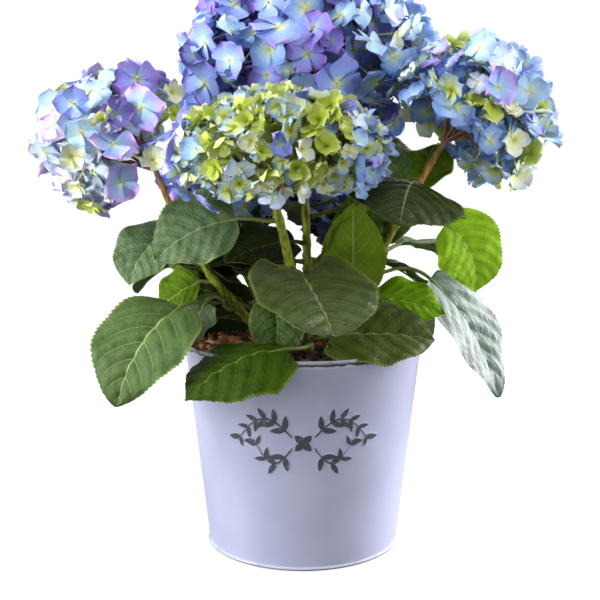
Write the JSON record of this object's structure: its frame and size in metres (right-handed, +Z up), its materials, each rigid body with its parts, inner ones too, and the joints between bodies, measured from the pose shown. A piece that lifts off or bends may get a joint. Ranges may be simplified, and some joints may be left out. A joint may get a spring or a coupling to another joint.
{
  "type": "potted hydrangea",
  "caption": "Mophead hydrangea in a tapered tin pot: arching canes, broad toothed leaves and domed heads of blue, lilac and green florets; stands on a shelf or table as an ornament.",
  "frame": {"origin": "centre of the pot's flat underside", "axes": "+Z up along the pot's axis, -Y towards the plant's front, +X to the right seen from the front"},
  "size_m": [0.353, 0.2802, 0.4185],
  "materials": {
    "pot_tin": "satin",
    "compost": "matte",
    "cane_bark": "satin",
    "leaf_green": "satin",
    "sepals_left": "matte",
    "sepals_front": "matte",
    "sepals_right": "matte",
    "sepals_top": "matte",
    "sepals_back_left": "matte",
    "sepals_back": "matte"
  },
  "bodies": {
    "root": {"pot": "pot_tin", "soil": "compost", "cane_back": "cane_bark", "cane_back_left": "cane_bark", "cane_front": "cane_bark", "cane_left": "cane_bark", "cane_right": "cane_bark", "cane_shoot": "cane_bark", "cane_top": "cane_bark", "head_back": "sepals_back", "head_back_left": "sepals_back_left", "head_front": "sepals_front", "head_left": "sepals_left", "head_right": "sepals_right", "head_top": "sepals_top", "leaf_back_far": "leaf_green", "leaf_back_left_high": "leaf_green", "leaf_back_left_low": "leaf_green", "leaf_back_left_side": "leaf_green", "leaf_back_low": "leaf_green", "leaf_back_right": "leaf_green", "leaf_back_side": "leaf_green", "leaf_centre_upright": "leaf_green", "leaf_front_centre": "leaf_green", "leaf_front_hanging": "leaf_green", "leaf_front_left": "leaf_green", "leaf_left_back": "leaf_green", "leaf_left_low": "leaf_green", "leaf_left_mid": "leaf_green", "leaf_left_shade": "leaf_green", "leaf_left_short": "leaf_green", "leaf_right_back": "leaf_green", "leaf_right_behind": "leaf_green", "leaf_right_glow": "leaf_green", "leaf_right_hanging": "leaf_green", "leaf_right_side": "leaf_green", "leaf_right_upper": "leaf_green", "leaf_shoot_left": "leaf_green", "leaf_shoot_right": "leaf_green", "leaf_top_high_left": "leaf_green", "leaf_top_left": "leaf_green"}
  },
  "joints": []
}
